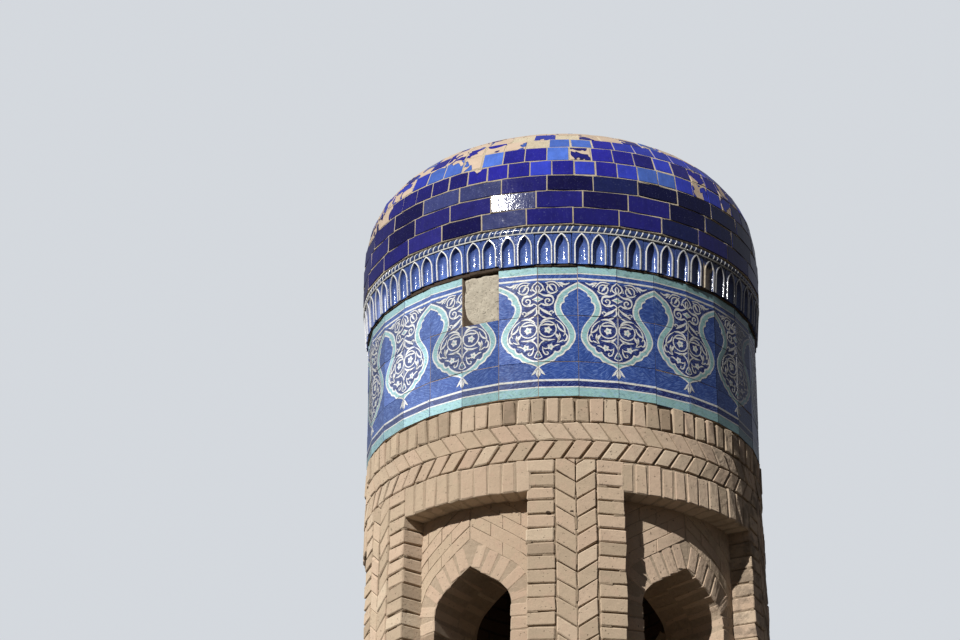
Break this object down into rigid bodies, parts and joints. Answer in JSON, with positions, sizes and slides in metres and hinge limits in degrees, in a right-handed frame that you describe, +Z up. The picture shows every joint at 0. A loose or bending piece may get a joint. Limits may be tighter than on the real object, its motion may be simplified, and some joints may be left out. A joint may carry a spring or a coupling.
{
  "type": "minaret",
  "caption": "Small round brick minaret with an arched lantern, a band of blue and white glazed tiles and a low dome of blue glazed brick.",
  "frame": {"origin": "on the ground at the tower's axis, under the centre of the plinth", "axes": "+Z up, -Y towards the front pier, +X to the right seen from the front"},
  "size_m": [2.26, 2.26, 8.6733],
  "materials": {
    "brick": "matte weathered buff fired brick with earth mortar",
    "mortar": "rough pale lime mortar",
    "majolica": "painted glazed tile, blue, turquoise and white",
    "glazed_brick": "glossy cobalt glazed brick, chipped in places"
  },
  "bodies": {
    "root": {"plinth": "brick", "shaft_lower_front_right": "brick", "shaft_lower_right": "brick", "shaft_lower_left": "brick", "shaft_lower_front_left": "brick", "doorway_jamb_right": "brick", "doorway_jamb_left": "brick", "doorway_arch": "brick", "shaft_upper_front_right": "brick", "shaft_upper_right": "brick", "shaft_upper_back": "brick", "shaft_upper_left": "brick", "shaft_upper_front_left": "brick", "belt_soldier_course": "brick", "belt_herringbone_band": "brick", "sill_course": "brick", "lantern_floor": "brick", "pier_front": "brick", "pier_right": "brick", "pier_back_right": "brick", "pier_back_left": "brick", "pier_left": "brick", "window_arch_front_right": "brick", "window_arch_right": "brick", "window_arch_back": "brick", "window_arch_left": "brick", "window_arch_front_left": "brick", "window_sill_front_right": "brick", "window_sill_right": "brick", "window_sill_back": "brick", "window_sill_left": "brick", "window_sill_front_left": "brick", "lintel_course": "brick", "herringbone_band": "brick", "soldier_course": "brick", "band_drum": "mortar", "tile_course_low": "majolica", "tile_course_middle": "majolica", "tile_course_high": "majolica", "niche_frieze": "majolica", "rope_moulding": "majolica", "dome": "glazed_brick"}
  },
  "joints": []
}
